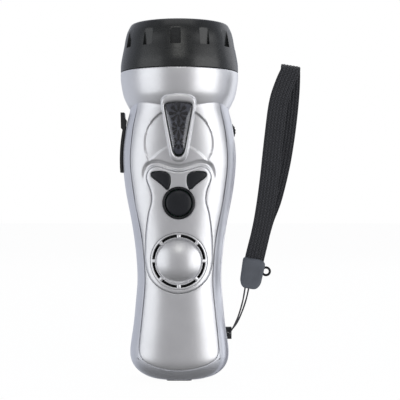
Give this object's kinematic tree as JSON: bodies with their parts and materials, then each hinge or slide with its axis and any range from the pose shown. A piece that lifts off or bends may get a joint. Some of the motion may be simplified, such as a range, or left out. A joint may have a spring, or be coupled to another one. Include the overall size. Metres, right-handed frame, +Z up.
{
  "type": "emergency radio",
  "caption": "Hand-held emergency radio with a torch head, signal lamp, speaker, press buttons, folding hand crank on the back and a wrist strap.",
  "frame": {"origin": "centre of the port cover's underside, which the radio stands on", "axes": "+Z up through the lamp head, -Y out of the speaker face, +X towards the wrist strap's side"},
  "size_m": [0.0991, 0.0644, 0.195],
  "materials": {
    "silver_case": "moulded plastic with satin metallic silver paint",
    "black_grip": "satin black moulded plastic",
    "black_button": "semi-gloss black moulded plastic",
    "smoked_lens": "smoked gloss",
    "clear_lens": "clear gloss",
    "reflector": "vacuum metallised",
    "led": "clear epoxy",
    "signal_led": "tinted epoxy",
    "circuit_board": "solder mask",
    "switch": "moulded",
    "rubber": "matt rubber",
    "seal": "matt rubber",
    "steel": "bright steel",
    "brass": "turned brass",
    "copper": "enamelled copper winding",
    "magnet": "sintered ferrite",
    "nylon": "moulded nylon",
    "battery": "nickel plated",
    "sleeve": "shrink film",
    "cone": "pressed cone",
    "cloth": "black dust cloth",
    "clasp": "matt dark grey moulded plastic",
    "cord": "braided",
    "webbing": "ribbed woven webbing",
    "wire": "insulated wire"
  },
  "bodies": {
    "casing": {"front_shell": "silver_case", "rear_shell": "silver_case", "control_panel": "silver_case", "lamp_head": "silver_case", "signal_hood": "silver_case", "speaker_cover": "silver_case", "case_screws": "steel", "lamp_reflector": "reflector", "lamp_leds": "led", "lamp_board": "circuit_board", "lamp_cable": "wire", "signal_lens": "smoked_lens", "signal_reflector": "reflector", "signal_leds": "signal_led", "signal_board": "circuit_board", "button_ring": "black_button", "volume_pot": "switch", "lamp_switch": "switch", "speaker_cloth": "cloth", "speaker_frame": "steel", "speaker_cone": "cone", "speaker_magnet": "magnet", "main_board": "circuit_board", "push_switches": "switch", "charge_socket": "switch", "earphone_socket": "switch", "socket_board": "circuit_board", "battery_cells": "battery", "battery_sleeve": "sleeve", "idler_axle": "steel", "dynamo_housing": "steel", "dynamo_coil": "copper", "gearbox_plate": "nylon", "shaft_bush": "brass", "lanyard_lug": "black_grip"},
    "bezel": {"bezel_ring": "black_grip", "lamp_lens": "clear_lens", "lens_seal": "seal"},
    "round_button": {"round_button": "black_button"},
    "left_button": {"left_button": "black_button"},
    "right_button": {"right_button": "black_button"},
    "volume_wheel": {"volume_wheel": "black_grip"},
    "lamp_slider": {"lamp_slider": "black_grip"},
    "port_cover": {"port_cover": "rubber"},
    "crank": {"crank_shaft": "steel", "crank_gear": "nylon", "crank_arm": "black_grip", "crank_screw": "steel", "knob_pin": "steel"},
    "knob_spindle": {"knob_spindle": "steel"},
    "crank_knob": {"crank_knob": "black_button"},
    "idler": {"idler_gear": "nylon"},
    "rotor": {"dynamo_rotor": "magnet", "rotor_pinion": "brass"},
    "cord": {"cord": "cord"},
    "strap": {"clasp": "clasp", "clasp_ring": "black_grip", "wrist_strap": "webbing"}
  },
  "joints": [
    {"name": "bezel_turn", "type": "hinge", "parent": "casing", "child": "bezel", "pos_m": [0, 0, 0.18], "axis": [0, 0, 1], "range_deg": [0, 30]},
    {"name": "lamp_slide", "type": "hinge", "parent": "casing", "child": "lamp_slider", "pos_m": [0.0602, 0, 0.12], "axis": [0, 1, 0], "range_deg": [-4, 0]},
    {"name": "round_button_press", "type": "slide", "parent": "casing", "child": "round_button", "axis": [0, 1, 0], "range_m": [0, 0.0008], "stiffness_N_per_m": 400},
    {"name": "left_button_press", "type": "slide", "parent": "casing", "child": "left_button", "axis": [0, 1, 0], "range_m": [0, 0.0008], "stiffness_N_per_m": 400},
    {"name": "right_button_press", "type": "slide", "parent": "casing", "child": "right_button", "axis": [0, 1, 0], "range_m": [0, 0.0008], "stiffness_N_per_m": 400},
    {"name": "volume_turn", "type": "hinge", "parent": "casing", "child": "volume_wheel", "pos_m": [0.0254, 0, 0.1354], "axis": [0, 1, 0], "range_deg": [0, 270]},
    {"name": "port_cover_pull", "type": "slide", "parent": "casing", "child": "port_cover", "axis": [0, 0, -1], "range_m": [0, 0.006]},
    {"name": "crank_spin", "type": "hinge", "parent": "casing", "child": "crank", "pos_m": [0, 0, 0.092], "axis": [0, 1, 0], "continuous": true},
    {"name": "idler_spin", "type": "hinge", "parent": "casing", "child": "idler", "pos_m": [0, 0, 0.1106], "axis": [0, 1, 0], "continuous": true},
    {"name": "rotor_spin", "type": "hinge", "parent": "casing", "child": "rotor", "pos_m": [0, 0, 0.1262], "axis": [0, 1, 0], "continuous": true},
    {"name": "knob_fold", "type": "hinge", "parent": "crank", "child": "knob_spindle", "pos_m": [0, 0.0256, 0.054], "axis": [-1, 0, 0], "range_deg": [0, 90]},
    {"name": "knob_spin", "type": "hinge", "parent": "knob_spindle", "child": "crank_knob", "pos_m": [0, 0.0256, 0.054], "axis": [0, 0, 1], "continuous": true},
    {"name": "cord_swing", "type": "hinge", "parent": "casing", "child": "cord", "pos_m": [0.0273, 0, 0.0249], "axis": [0, 1, 0], "range_deg": [-3, 78]},
    {"name": "clasp_swing", "type": "hinge", "parent": "cord", "child": "strap", "pos_m": [0.0369, 0, 0.0488], "axis": [0, 1, 0], "range_deg": [-3, 30]}
  ],
  "couplings": [
    {"joint": "idler_spin", "follows": "crank_spin", "ratio": -4.1667},
    {"joint": "rotor_spin", "follows": "crank_spin", "ratio": 13.889}
  ]
}
